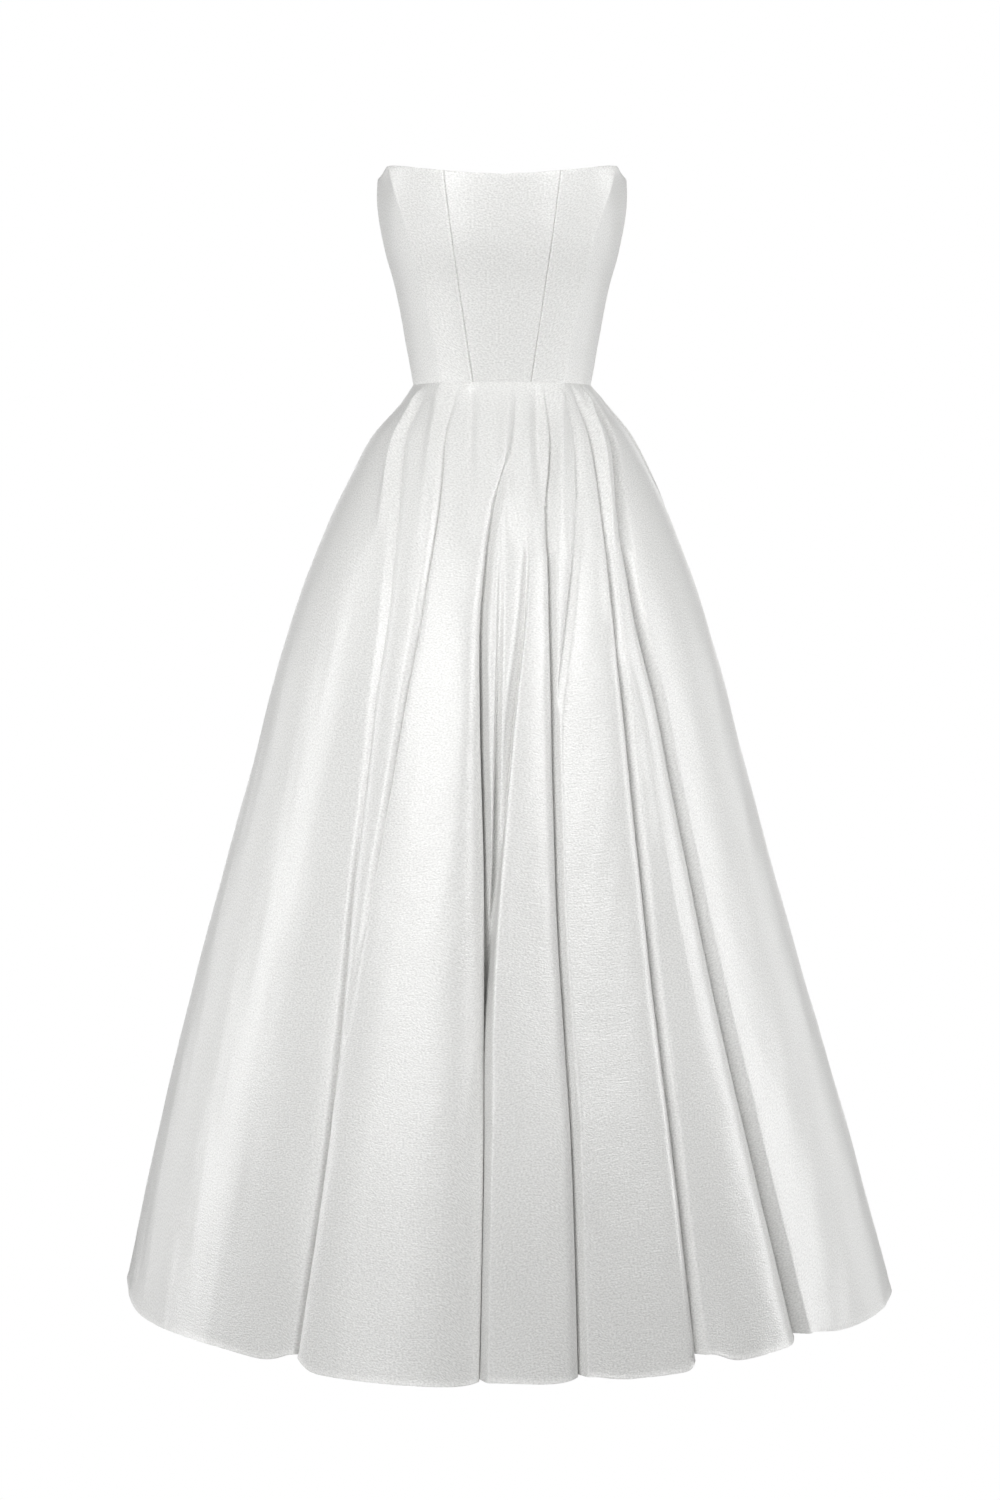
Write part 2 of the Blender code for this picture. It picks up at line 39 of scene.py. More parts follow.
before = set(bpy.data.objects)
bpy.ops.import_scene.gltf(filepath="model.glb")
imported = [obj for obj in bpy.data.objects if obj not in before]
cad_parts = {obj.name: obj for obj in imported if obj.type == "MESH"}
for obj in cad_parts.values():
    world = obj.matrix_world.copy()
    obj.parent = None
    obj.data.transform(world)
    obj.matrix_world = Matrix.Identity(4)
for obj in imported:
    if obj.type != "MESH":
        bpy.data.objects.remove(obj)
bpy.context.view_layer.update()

# ------------------------------------------------------------------ driving dimensions

BODICE_CLOTH = 1.6
SKIRT_CLOTH = 1.0
SEAM_GAP = 0.06
WAIST_GAP = 0.06
HEM_DROP = 1000.0

CENTRE_BACK = 180.0
SIDE_SEAM = 90.0
ZIP_DROP = 160.0
ZIP_OPENING = 1.8

# Grids of points: columns across and rows down. A cell makes two triangles on each face of the cloth.
SKIRT_FRONT_GRID = (600, 82)
SKIRT_BACK_GRID = (420, 90)
BODICE_ROWS = 110
BODICE_COLUMNS = {"centre_front": 120, "side_front": 110, "side": 130, "back": 130}
# Cloth turns smoothly up to this angle between two faces, in degrees.
SMOOTH_TO = 60.0

# Smooth unevenness is a sum of waves: each one's length across and down the cloth, and where it starts.
Wave = namedtuple("Wave", "across down start")

# ------------------------------------------------------------------ bodice

# Sections through the bodice: half its width, and its depth to the front and to the back.
BodiceSection = namedtuple("BodiceSection", "height half_width front back")
BODICE_SECTIONS = (
    BodiceSection(0, 97.0, 89.5, 89.5),
    BodiceSection(50, 106.0, 94.5, 92.5),
    BodiceSection(100, 115.5, 100.5, 95.5),
    BodiceSection(150, 128.6, 109.5, 99.5),
    BodiceSection(195, 136.0, 113.0, 103.5),
    BodiceSection(240, 135.2, 114.0, 106.0),
)
BODICE_SQUARENESS = 2.3

# A radius near the seams, which turns the gaps between the panels into azimuths.
SEAM_RADIUS = 105.0

# Where the panels meet, as azimuths at each height. The left half is the mirror of these.
BodiceSeam = namedtuple("BodiceSeam", "height front side back")
BODICE_SEAMS = (
    BodiceSeam(0, 19.8, 43.0, 118.0),
    BodiceSeam(50, 23.2, 45.4, 117.0),
    BodiceSeam(100, 25.9, 49.3, 116.0),
    BodiceSeam(150, 27.4, 50.8, 114.5),
    BodiceSeam(190, 29.1, 56.5, 113.0),
    BodiceSeam(238, 31.5, 67.0, 112.0),
)

# The top edge, as a height at each azimuth. It is the same on both sides.
TopEdge = namedtuple("TopEdge", "azimuth height")
TOP_EDGE = (
    TopEdge(0, 218.0),
    TopEdge(20, 220.0),
    TopEdge(42, 225.5),
    TopEdge(64, 231.5),
    TopEdge(76, 231.0),
    TopEdge(92, 224.5),
    TopEdge(118, 206.0),
    TopEdge(150, 189.0),
    TopEdge(180, 182.0),
)

# Boned panels are flatter than the section between their seams: how far in, where the flattest place is
# and how far that spreads, as shares of the way across from the seam nearer the front.
PanelFlat = namedtuple("PanelFlat", "panel inward place spread")
PANEL_FLATS = (
    PanelFlat("centre_front", 1.6, 0.5, 0.5),
    PanelFlat("side_front", 2.6, 0.5, 0.5),
    PanelFlat("side", 6.0, 0.3, 0.3),
    PanelFlat("back", 0.8, 0.5, 0.5),
)
# Each seam is a groove, with a low ridge of seam allowance beside it.
SeamLook = namedtuple("SeamLook", "seam groove width ridge")
SEAM_LOOKS = (
    SeamLook("front", 2.0, 0.7, 0.26),
    SeamLook("side", 0.2, 0.8, 0.06),
    SeamLook("back", 0.4, 0.8, 0.12),
    SeamLook("centre_back", 0.3, 0.8, 0.12),
)
# The two seams of each panel, the one nearer the front first.
PANEL_SEAMS = {
    "centre_front": ("front", "front"),
    "side_front": ("front", "side"),
    "side": ("side", "back"),
    "back": ("back", "centre_back"),
}
# Where the ridge is and how wide. It is plainest at the waist, and fades to a share of that further up.
RIDGE_PLACE = 3.4
RIDGE_WIDTH = 2.0
RIDGE_LEAST = 0.4
RIDGE_FADE = 70.0
# The turned top edge rolls in.
EDGE_ROLL = 0.8
EDGE_ROLL_WIDTH = 1.2

BODICE_UNEVENNESS = 0.22
BODICE_WAVES = (
    Wave(61, 83, 0.4),
    Wave(37, 140, 2.1),
    Wave(90, 45, 4.0),
    Wave(48, -66, 5.2),
)

# How much a panel's columns crowd towards its seams, and the passes that settle its top row on the top edge.
BODICE_CROWDING = 0.115
TOP_PASSES = 3

# ------------------------------------------------------------------ skirt

# Sections through the skirt's crests: half the width, depth over width, and the middle's shift along X.
SkirtSection = namedtuple("SkirtSection", "drop half_width roundness middle")
SKIRT_SECTIONS = (
    SkirtSection(0, 97.0, 0.923, 0.0),
    SkirtSection(20, 110.5, 0.925, 0.0),
    SkirtSection(50, 136.0, 0.93, -1.5),
    SkirtSection(100, 164.5, 0.945, -1.5),
    SkirtSection(180, 200.5, 0.96, -2.5),
    SkirtSection(280, 235.0, 0.97, -3.3),
    SkirtSection(400, 267.0, 0.98, -3.5),
    SkirtSection(600, 322.5, 0.99, -3.5),
    SkirtSection(800, 377.5, 1.005, 1.0),
    SkirtSection(HEM_DROP, 426.0, 1.02, 8.5),
)

# The skirt leaves the waist with the bodice's squareness, and turns round lower down.
Squareness = namedtuple("Squareness", "drop power")
SKIRT_SQUARENESS = (
    Squareness(0, BODICE_SQUARENESS),
    Squareness(100, 2.15),
    Squareness(300, 2.0),
    Squareness(HEM_DROP, 2.0),
)

# Each fold is a crease where one lobe's edge lies over the next. At each of its drops it has an azimuth,
# a depth, and how far the lobes on its low side and on its high side take to fall into it. Its lap is how
# far its bottom is tucked sideways under the lobe on top, + to higher azimuths. A ridge has a depth below 0.
FRONT_DROPS = (0, 50, 120, 220, 350, 500, 750, HEM_DROP)
BACK_DROPS = (0, 100, 220, 500, 750, HEM_DROP)
Fold = namedtuple("Fold", "name drops azimuth depth low high lap", defaults=((),))
FOLDS = (
    Fold(
        "left",
        drops=FRONT_DROPS,
        azimuth=(-54, -47.3, -38.9, -33.1, -32.5, -31.8, -29.9, -31.6),
        depth=(1, 4, 6, 4, 1.5, 1.5, 3.5, 5),
        low=(6, 6, 7, 7, 5, 3, 2, 2),
        high=(5, 5, 7, 9, 7, 3, 2, 2),
        lap=(0, 0, 0, 0, 1, 2, 5, 6),
    ),
    Fold(
        "left_thin",
        drops=FRONT_DROPS,
        azimuth=(-31, -27.1, -23.1, -22.4, -24.4, -26.3, -28.5, -29.5),
        depth=(2, 4, 4, 2, 1.2, 0.6, 0, 0),
        low=(4, 4, 4, 4, 4, 4, 4, 4),
        high=(4, 4, 4, 4, 4, 4, 4, 4),
        lap=(0, 1, 3, 4, 4, 3, 0, 0),
    ),
    Fold(
        "centre",
        drops=FRONT_DROPS,
        azimuth=(9, 6.6, -0.7, -4, -3.7, -2.3, -2.3, -3.7),
        depth=(0, 2, 5, 9, 14, 20, 18, 16),
        low=(4, 5, 6, 7, 9, 13, 20, 24),
        high=(4, 4, 4, 4, 4, 4, 2.5, 2.5),
        lap=(0, -1, -3, -5, -7, -8, -9, -10),
    ),
    Fold(
        "centre_second",
        drops=FRONT_DROPS,
        azimuth=(1, 1, 0.8, 0.4, -0.1, -0.7, -3, -3),
        depth=(0, 0, 0, 2, 5, 13, 0, 0),
        low=(3, 3, 3, 3, 3, 3, 3, 3),
        high=(3, 3, 3, 3, 3, 3, 3, 3),
        lap=(0, 0, 0, -1, -2, -3, 0, 0),
    ),
    Fold(
        "centre_third",
        drops=FRONT_DROPS,
        azimuth=(13, 11.5, 9.8, 7.4, 3, 0, -3, -3),
        depth=(0, 0, 1, 3, 5, 5, 0, 0),
        low=(6, 6, 6, 6, 6, 6, 6, 6),
        high=(3, 3, 3, 3, 3, 3, 3, 3),
        lap=(0, 0, 1, 2, 3, 2, 0, 0),
    ),
    Fold(
        "right_centre",
        drops=FRONT_DROPS,
        azimuth=(29, 25.1, 18.4, 15.6, 13.9, 12.6, 12, 10.1),
        depth=(2, 6, 7, 8, 9, 11, 13, 15),
        low=(4, 4, 5, 6, 7, 7, 7, 8),
        high=(4, 4, 3.5, 3, 2.5, 2.5, 2.5, 2.5),
        lap=(0, -2, -4, -5, -6, -7, -8, -10),
    ),
    Fold(
        "right_thin",
        drops=FRONT_DROPS,
        azimuth=(40, 35.6, 29.3, 21.3, 14.3, 12.5, 12, 12),
        depth=(1, 4, 5, 5, 2, 0, 0, 0),
        low=(5, 5, 6, 6, 6, 6, 6, 6),
        high=(4, 4, 4, 4, 4, 4, 4, 4),
        lap=(0, 0, -1, -2, -1, 0, 0, 0),
    ),
    Fold(
        "right",
        drops=FRONT_DROPS,
        azimuth=(50.7, 45.3, 39.1, 34.6, 33.2, 31.9, 29.7, 27.7),
        depth=(3, 8, 9, 9, 10, 12, 15, 17),
        low=(4, 4, 5, 6, 7, 7, 8, 9),
        high=(4, 4, 4, 3.5, 3, 2.5, 2.5, 2.5),
        lap=(0, -2, -4, -5, -6, -7, -9, -10),
    ),
    Fold(
        "right_ridge",
        drops=FRONT_DROPS,
        azimuth=(52, 47.6, 39.8, 33.2, 36.7, 37.5, 39.4, 42.5),
        depth=(0, -2, -2, -3, -3, -2, 0, 0),
        low=(5, 6, 7, 8, 9, 11, 18, 25),
        high=(4, 4, 5, 5, 6, 7, 10, 14),
    ),
    Fold(
        "right_outer",
        drops=FRONT_DROPS,
        azimuth=(65.7, 58.7, 47.6, 42.7, 44.3, 45.5, 46.5, 48.3),
        depth=(3, 9, 13, 15, 13, 14, 17, 19),
        low=(4, 4, 5, 7, 8, 10, 14, 17),
        high=(4, 4, 4, 4, 3, 2.5, 2.5, 2.5),
        lap=(0, -2, -5, -6, -7, -8, -9, -10),
    ),
    Fold(
        "right_back_1",
        drops=BACK_DROPS,
        azimuth=(95, 99, 102, 104, 104, 105),
        depth=(0, 6, 9, 13, 16, 19),
        low=(4, 6, 8, 11, 15, 19),
        high=(4, 4, 4, 3.5, 3, 2.5),
        lap=(0, -2, -4, -6, -8, -9),
    ),
    Fold(
        "right_back_2",
        drops=BACK_DROPS,
        azimuth=(113, 118, 122, 124, 125, 126),
        depth=(0, 5, 8, 11, 13, 15),
        low=(4, 5, 7, 8, 9, 10),
        high=(4, 4, 4, 3.5, 3, 2.5),
        lap=(0, -1, -3, -5, -7, -8),
    ),
    Fold(
        "right_back_3",
        drops=BACK_DROPS,
        azimuth=(136, 140, 143, 146, 147, 148),
        depth=(0, 6, 10, 16, 19, 20),
        low=(4, 6, 8, 12, 18, 24),
        high=(4, 4, 4, 3.5, 3, 2.5),
        lap=(0, -2, -4, -7, -9, -10),
    ),
    Fold(
        "right_back_4",
        drops=BACK_DROPS,
        azimuth=(157, 160, 163, 165, 166, 167),
        depth=(0, 5, 7, 10, 13, 16),
        low=(4, 5, 7, 8, 10, 12),
        high=(4, 4, 4, 3.5, 3, 2.5),
        lap=(0, -2, -3, -5, -7, -8),
    ),
    Fold(
        "left_back_4",
        drops=BACK_DROPS,
        azimuth=(204, 201, 198, 196, 196, 195),
        depth=(0, 5, 9, 15, 18, 20),
        low=(4, 4, 4, 3.5, 3, 2.5),
        high=(4, 6, 8, 12, 18, 24),
        lap=(0, 2, 4, 6, 8, 9),
    ),
    Fold(
        "left_back_3",
        drops=BACK_DROPS,
        azimuth=(225, 221, 218, 216, 215, 214),
        depth=(0, 5, 8, 11, 13, 15),
        low=(4, 4, 4, 3.5, 3, 2.5),
        high=(4, 5, 7, 8, 9, 10),
        lap=(0, 1, 3, 5, 7, 8),
    ),
    Fold(
        "left_back_2",
        drops=BACK_DROPS,
        azimuth=(245, 242, 240, 238, 237, 236),
        depth=(0, 6, 9, 14, 17, 19),
        low=(4, 4, 4, 3.5, 3, 2.5),
        high=(4, 6, 8, 11, 15, 19),
        lap=(0, 2, 4, 7, 9, 10),
    ),
    Fold(
        "left_back_1",
        drops=BACK_DROPS,
        azimuth=(264, 261, 258, 256, 255, 254),
        depth=(0, 6, 8, 12, 14, 16),
        low=(4, 4, 4, 3.5, 3, 2.5),
        high=(4, 5, 7, 9, 11, 13),
        lap=(0, 2, 4, 6, 8, 9),
    ),
)

# How a lobe sinks towards the crease where the next one lies over it, and how sharply that one's edge
# stands up from it, in the same columns.
LAPS = (
    Fold(
        "left_lap",
        drops=FRONT_DROPS,
        azimuth=(-54, -47.3, -38.9, -33.1, -32.5, -31.8, -29.9, -31.6),
        depth=(0, 0, 0, 1.5, 4, 7, 10, 10),
        low=(60, 60, 60, 60, 60, 60, 60, 60),
        high=(8, 8, 8, 10, 12, 13, 13, 12),
    ),
)

# Small soft gathers just under the waist, in the same columns. A ridge has a depth below 0.
GATHER_DROPS = (0, 12, 35, 70, 120, 180)
GATHERS = (
    Fold(
        "far_left_ridge",
        drops=GATHER_DROPS,
        azimuth=(-62, -60, -54, -50, -45, -41),
        depth=(-0.8, -3.4, -6.8, -7.1, -4.1, 0),
        low=(5, 5, 5, 5, 6, 8),
        high=(4, 4, 4, 4, 5, 6),
    ),
    Fold(
        "left_ridge",
        drops=GATHER_DROPS,
        azimuth=(-42, -40, -34, -30, -28, -27),
        depth=(-2, -4.4, -6.5, -6.1, -3.4, 0),
        low=(8, 8, 8, 8, 10, 10),
        high=(4, 4, 4, 4, 6, 8),
    ),
    Fold(
        "middle_left",
        drops=GATHER_DROPS,
        azimuth=(-22, -21, -17, -14, -12, -11),
        depth=(2.4, 5.1, 7.1, 6.8, 3.7, 0),
        low=(9, 9, 9, 9, 11, 12),
        high=(8, 8, 8, 8, 10, 12),
    ),
    Fold(
        "middle_ridge",
        drops=GATHER_DROPS,
        azimuth=(4, 4, 3, 2, 2, 2),
        depth=(-2.4, -5.1, -7.5, -7.1, -4.4, 0),
        low=(8, 8, 8, 8, 9, 9),
        high=(7, 7, 7, 7, 8, 8),
    ),
    Fold(
        "middle_right",
        drops=GATHER_DROPS,
        azimuth=(24, 23, 20, 17, 15, 13),
        depth=(2.7, 5.8, 8.2, 7.1, 3.7, 0),
        low=(10, 10, 9, 9, 9, 9),
        high=(5, 5, 5, 5, 6, 6),
    ),
    Fold(
        "right_ridge",
        drops=GATHER_DROPS,
        azimuth=(40, 38, 31, 26, 22, 20),
        depth=(-2.4, -5.1, -7.5, -7.1, -4.1, 0),
        low=(6, 6, 6, 6, 7, 8),
        high=(7, 7, 7, 7, 8, 8),
    ),
    Fold(
        "loop",
        drops=GATHER_DROPS,
        azimuth=(62, 60, 51, 45.5, 41, 37),
        depth=(-0.8, -3.4, -7.8, -8.8, -5.8, 0),
        low=(5, 5, 4.5, 4.5, 5, 6),
        high=(4, 4, 4, 4, 5, 6),
    ),
    Fold(
        "right_back_ridge_1",
        drops=GATHER_DROPS,
        azimuth=(92, 92, 93, 94, 95, 96),
        depth=(-1, -3, -5, -5, -3, 0),
        low=(5, 5, 5, 5, 6, 8),
        high=(6, 6, 6, 6, 7, 8),
    ),
    Fold(
        "right_back_trough",
        drops=GATHER_DROPS,
        azimuth=(106, 107, 109, 110, 111, 112),
        depth=(1, 4, 6, 6, 3, 0),
        low=(6, 6, 6, 6, 8, 10),
        high=(8, 8, 8, 8, 9, 10),
    ),
    Fold(
        "right_back_ridge_2",
        drops=GATHER_DROPS,
        azimuth=(126, 127, 129, 130, 131, 132),
        depth=(-1, -4, -6, -5, -3, 0),
        low=(7, 7, 7, 7, 8, 8),
        high=(5, 5, 5, 5, 6, 8),
    ),
    Fold(
        "right_back_ridge_3",
        drops=GATHER_DROPS,
        azimuth=(148, 149, 151, 152, 153, 154),
        depth=(-1, -3, -6, -6, -3, 0),
        low=(6, 6, 6, 6, 7, 8),
        high=(6, 6, 6, 6, 7, 8),
    ),
    Fold(
        "left_back_ridge_3",
        drops=GATHER_DROPS,
        azimuth=(214, 213, 211, 210, 209, 208),
        depth=(-1, -4, -6, -5, -3, 0),
        low=(6, 6, 6, 6, 7, 8),
        high=(7, 7, 7, 7, 8, 8),
    ),
    Fold(
        "left_back_trough",
        drops=GATHER_DROPS,
        azimuth=(235, 234, 232, 231, 230, 229),
        depth=(1, 3, 6, 6, 4, 0),
        low=(7, 7, 7, 7, 8, 9),
        high=(6, 6, 6, 6, 7, 8),
    ),
    Fold(
        "left_back_ridge_1",
        drops=GATHER_DROPS,
        azimuth=(255, 254, 252, 250, 249, 248),
        depth=(-1, -3, -5, -6, -3, 0),
        low=(5, 5, 5, 5, 6, 8),
        high=(7, 7, 7, 7, 8, 8),
    ),
)

# How far the hem rises at each crease, and how far along the hem that spreads on its low and high sides.
HemRise = namedtuple("HemRise", "azimuth rise low high")
HEM_RISES = (
    HemRise(-86, 17, 90, 64),
    HemRise(-46, 5, 150, 100),
    HemRise(45, 7, 170, 180),
    HemRise(84, 4, 60, 90),
    HemRise(-31.8, 12, 24, 18),
    HemRise(-3, 5, 14, 40),
    HemRise(11, 5, 22, 24),
    HemRise(28.5, 14, 14, 26),
    HemRise(49.5, 8, 20, 40),
    HemRise(105, 10, 20, 34),
    HemRise(127, 6, 16, 26),
    HemRise(149, 11, 20, 34),
    HemRise(168, 6, 16, 24),
    HemRise(194, 10, 34, 20),
    HemRise(213, 6, 26, 16),
    HemRise(235, 10, 34, 20),
    HemRise(253, 7, 28, 18),
)
# The rise starts this far down the skirt.
RISE_FROM = 700.0
# How far the hem's turned edge stands out, and the last rows of points, as distances above the hem.
HEM_EDGE = 0.7
HEM_EDGE_WIDTH = 3.0
HEM_ROWS = (8.0, 5.0, 3.0, 1.5, 0.6, 0.0)
# The other rows are closer together near the waist: part of the way in even steps, the rest by a power.
EVEN_STEPS = 0.35
STEP_POWER = 1.8

# Broad stretches where the skirt is flatter than its round section, in the same columns as the folds.
FLATS = (
    Fold(
        "left_flat",
        drops=BACK_DROPS,
        azimuth=(-50, -50, -50, -50, -50, -48),
        depth=(0, 0, 0, 2, 5, 12),
        low=(60, 70, 90, 120, 170, 210),
        high=(60, 60, 70, 100, 150, 190),
    ),
    Fold(
        "middle_flat",
        drops=BACK_DROPS,
        azimuth=(8, 8, 8, 8, 8, 8),
        depth=(0, 0, 0, 0, 6, 16),
        low=(40, 40, 40, 50, 60, 75),
        high=(60, 60, 60, 80, 100, 120),
    ),
    Fold(
        "right_flat",
        drops=BACK_DROPS,
        azimuth=(42, 42, 42, 43, 46, 48),
        depth=(0, 0, 0, 2, 7, 18),
        low=(60, 60, 60, 100, 150, 200),
        high=(60, 60, 60, 100, 150, 210),
    ),
)

# The powers by which the low and the high side fall away: evenly for a lap, and roundly for a gather or a
# flat. In a fold the lobe on top falls away gently, and the other goes straight in under it.
EVEN = (1.0, 1.0)
ROUND = (2.0, 2.0)
LOW_ON_TOP = (1.2, 2.0)
HIGH_ON_TOP = (2.0, 1.2)
# The tuck under the lobe on top: how deep it is for its lap, and how wide.
TUCK_DEPTH = 1.1
TUCK_WIDTH = 2.4
# How far down the skirt its folds take to grow out of the bodice's lower edge.
WAIST_BLEND = 7.0

# How uneven the skirt is at each drop. The small waves have a share of that.
Unevenness = namedtuple("Unevenness", "drop amount")
SKIRT_UNEVENNESS = (
    Unevenness(0, 0.0),
    Unevenness(60, 0.25),
    Unevenness(250, 0.6),
    Unevenness(HEM_DROP, 0.8),
)
SKIRT_WAVES = (
    Wave(83, 310, 0.3),
    Wave(131, -240, 1.7),
    Wave(57, 420, 3.1),
    Wave(190, 170, 4.4),
    Wave(71, -520, 5.6),
)
SMALL_SHARE = 0.25
SMALL_WAVES = (
    Wave(31, 95, 0.9),
    Wave(44, -70, 2.6),
    Wave(23, 150, 4.9),
)

# How closely the skirt's columns crowd over a fold's sides and round its bottom, how far that reaches (as
# a share of the sides, and in millimetres), the depth of a fold that has its full share of them, and the
# fine steps along a row in which this is added up.
SIDES_CROWD = 1.5
SIDES_REACH = 1.3
BOTTOM_CROWD = 4.0
BOTTOM_REACH = 9.0
CROWD_DEPTH = 4.0
CROWD_STEPS = 2400

# ------------------------------------------------------------------ zip

# Each of the zip's two coils is a flattened helix of nylon wire. Their loops pass each other at the middle.
COIL_PITCH = 1.3
COIL_OUT = 3.1
COIL_PAST_MIDDLE = 0.4
COIL_HALF_DEPTH = 0.38
COIL_WIRE = 0.24
COIL_WIRE_SIDES = 6
COIL_TURN_STEPS = 12
# Points of the CAD strip this close in height are on one row.
ROW_TOLERANCE = 0.1
# How far the bevel goes in along the edges of the slider and the pull tab.
METAL_EDGE = 0.15

# ------------------------------------------------------------------ looks

# The satin's relief, the coarsest first: how often the noise varies in a metre across, down and through the
# cloth, its detail and roughness, and the height in metres and strength that it stands out by.
Relief = namedtuple("Relief", "name scale detail roughness distance strength")
SATIN_RELIEF = (
    Relief("rumple", (17, 23, 1), 2.0, 0.5, 0.004, 0.16),
    Relief("slub", (95, 520, 1), 2.0, 0.6, 0.0005, 0.5),
    Relief("grain", (430, 600, 1), 1.0, 0.5, 0.0004, 0.6),
)
SATIN_SPECULAR = 0.75
SATIN_ROUGHNESS = (0.30, 0.38)
SATIN_TONES = ((0.65, 0.65, 0.637), (0.90, 0.90, 0.886))
# The share of the noise's range that covers both tones.
TONE_RANGE = (0.25, 0.75)

# The tape's ribs, the nylon's grain, and the metal's brushing and wear, as often in a metre as given. Their
# relief is a height in metres and a strength.
TAPE_RIBS = 320.0
TAPE_UNEVENNESS = 0.6
TAPE_RELIEF = (0.0002, 0.6)
TAPE_ROUGHNESS = 0.8
TAPE_TONES = ((0.68, 0.67, 0.64), (0.76, 0.75, 0.72))
NYLON_GRAIN = (900, 900, 900)
NYLON_ROUGHNESS = (0.34, 0.5)
NYLON_TONES = ((0.74, 0.73, 0.70), (0.80, 0.79, 0.76))
METAL_BRUSHING = (5200, 5200, 320)
METAL_RELIEF = (0.00002, 0.5)
METAL_WEAR = (420, 420, 420)
METAL_ROUGHNESS = (0.30, 0.38)
METAL_TONES = ((0.68, 0.67, 0.66), (0.76, 0.75, 0.74))

# ------------------------------------------------------------------ studio

# Places and lengths here are in metres, angles in degrees, and the lens and its sensor in millimetres.
CAMERA_PLACE = (-0.0022, -3.634, -0.1254)
CAMERA_TILT = 85.673
CAMERA_LENS = 79.3
CAMERA_SENSOR = 36.0
FLOOR_HEIGHT = -1.03
FLOOR_SIZE = 40.0
BACKDROP_RADIUS = 30.0
ROOM_LIGHT = 0.03

# Soft boxes round the dress: bearing from the front, distance in plan, height of the middle and of the
# point faced, width, height, lean (clockwise as the dress sees it), watts, and how widely it shines.
SoftBox = namedtuple("SoftBox", "name bearing distance middle faced width height lean watts spread")
SOFT_BOXES = (
    SoftBox("left_strip", -96, 2.8, -0.1, -0.3, 0.3, 2.4, -20, 27, 180),
    SoftBox("right_strip", 95, 2.8, -0.1, -0.3, 0.3, 2.4, 20, 33, 180),
    SoftBox("upper_left", -30, 2.6, 0.9, -0.3, 1.8, 0.9, 0, 41, 180),
    SoftBox("upper_right", 36, 2.6, 1.1, -0.3, 1.6, 0.9, 0, 44, 180),
    SoftBox("left_fill", -40, 2.8, -0.3, -0.3, 1.5, 1.6, 0, 12, 180),
    SoftBox("top", 8, 2.3, 1.8, -0.3, 0.9, 1.0, 0, 1, 180),
    SoftBox("bodice_left", -32, 2.9, -0.25, 0.17, 0.9, 0.4, 0, 0.026, 10),
    SoftBox("bodice_right", 32, 2.9, -0.25, 0.17, 0.9, 0.4, 0, 0.042, 10),
    SoftBox("left_rim", -128, 2.8, -0.6, -0.3, 0.6, 1.8, 0, 7, 180),
    SoftBox("right_rim", 128, 2.8, -0.6, -0.3, 0.6, 1.8, 0, 8, 180),
    SoftBox("back_left", -168, 3.2, -0.45, -0.3, 1.4, 2.2, 0, 13, 180),
    SoftBox("back_right", 168, 3.2, -0.45, -0.3, 1.4, 2.2, 0, 16, 180),
)

# ------------------------------------------------------------------ curves and directions


def curve(at, levels, values):
    """A smooth curve through the values at the rising levels."""
    levels = np.asarray(levels, float)
    values = np.asarray(values, float)
    slopes = np.gradient(values, levels)
    at = np.clip(at, levels[0], levels[-1])
    low = np.clip(np.searchsorted(levels, at, side="right") - 1, 0, len(levels) - 2)
    span = levels[low + 1] - levels[low]
    t = (at - levels[low]) / span
    start = values[low] * (1 + 2 * t) * (1 - t) ** 2 + slopes[low] * span * t * (1 - t) ** 2
    end = values[low + 1] * t * t * (3 - 2 * t) + slopes[low + 1] * span * t * t * (t - 1)
    return start + end


def column(rows, name):
    return [getattr(row, name) for row in rows]


def table_curve(at, rows, value):
    """A smooth curve through one column of a table, whose first column rises."""
    return curve(at, column(rows, rows[0]._fields[0]), column(rows, value))


def turned(azimuth):
    """The same azimuth, from -180 to 180."""
    half = FULL_TURN / 2
    return (azimuth + half) % FULL_TURN - half


def directions(azimuth):
    """Unit vectors in plan, outward and towards higher azimuths."""
    angle = np.radians(azimuth)
    outward = np.stack([np.sin(angle), -np.cos(angle)], -1)
    sideways = np.stack([np.cos(angle), np.sin(angle)], -1)
    return outward, sideways


def ring_radius(azimuth, half_width, depth, squareness):
    """How far out a ring is: an ellipse at a squareness of 2, and fuller at the corners above that."""
    angle = np.radians(azimuth)
    across = np.abs(np.sin(angle) / half_width) ** squareness
    along = np.abs(np.cos(angle) / depth) ** squareness
    return (across + along) ** (-1 / squareness)


def waves(across, down, rows):
    """Smooth unevenness from -1 to 1."""
    total = np.zeros(np.broadcast(across, down).shape)
    for wave in rows:
        total = total + np.sin(math.tau * (across / wave.across + down / wave.down) + wave.start)
    return total / len(rows)


# ------------------------------------------------------------------ bodice's shape


def bodice_radius(azimuth, height):
    half_width = table_curve(height, BODICE_SECTIONS, "half_width")
    front = table_curve(height, BODICE_SECTIONS, "front")
    back = table_curve(height, BODICE_SECTIONS, "back")
    depth = np.where(np.cos(np.radians(azimuth)) > 0, front, back)
    return ring_radius(azimuth, half_width, depth, BODICE_SQUARENESS)


def bodice_seam(name, height, side):
    """A seam's azimuth at each height. side is 1 on the right and -1 on the left."""
    return side * table_curve(height, BODICE_SEAMS, name)


def top_height(azimuth):
    return table_curve(np.abs(turned(azimuth)), TOP_EDGE, "height")


def seam_dip(seam, distance, height):
    """How far in the cloth goes near a seam."""
    look = next(row for row in SEAM_LOOKS if row.seam == seam)
    groove = look.groove * np.exp(-((distance / look.width) ** 2))
    fade = RIDGE_LEAST + (1 - RIDGE_LEAST) * np.exp(-height / RIDGE_FADE)
    ridge = look.ridge * fade * np.exp(-(((distance - RIDGE_PLACE) / RIDGE_WIDTH) ** 2))
    return groove - ridge


def panel_inward(flat, share):
    """How far in a panel lies at each share of the way across it."""
    return flat.inward * np.clip(1 - ((share - flat.place) / flat.spread) ** 2, 0, 1)


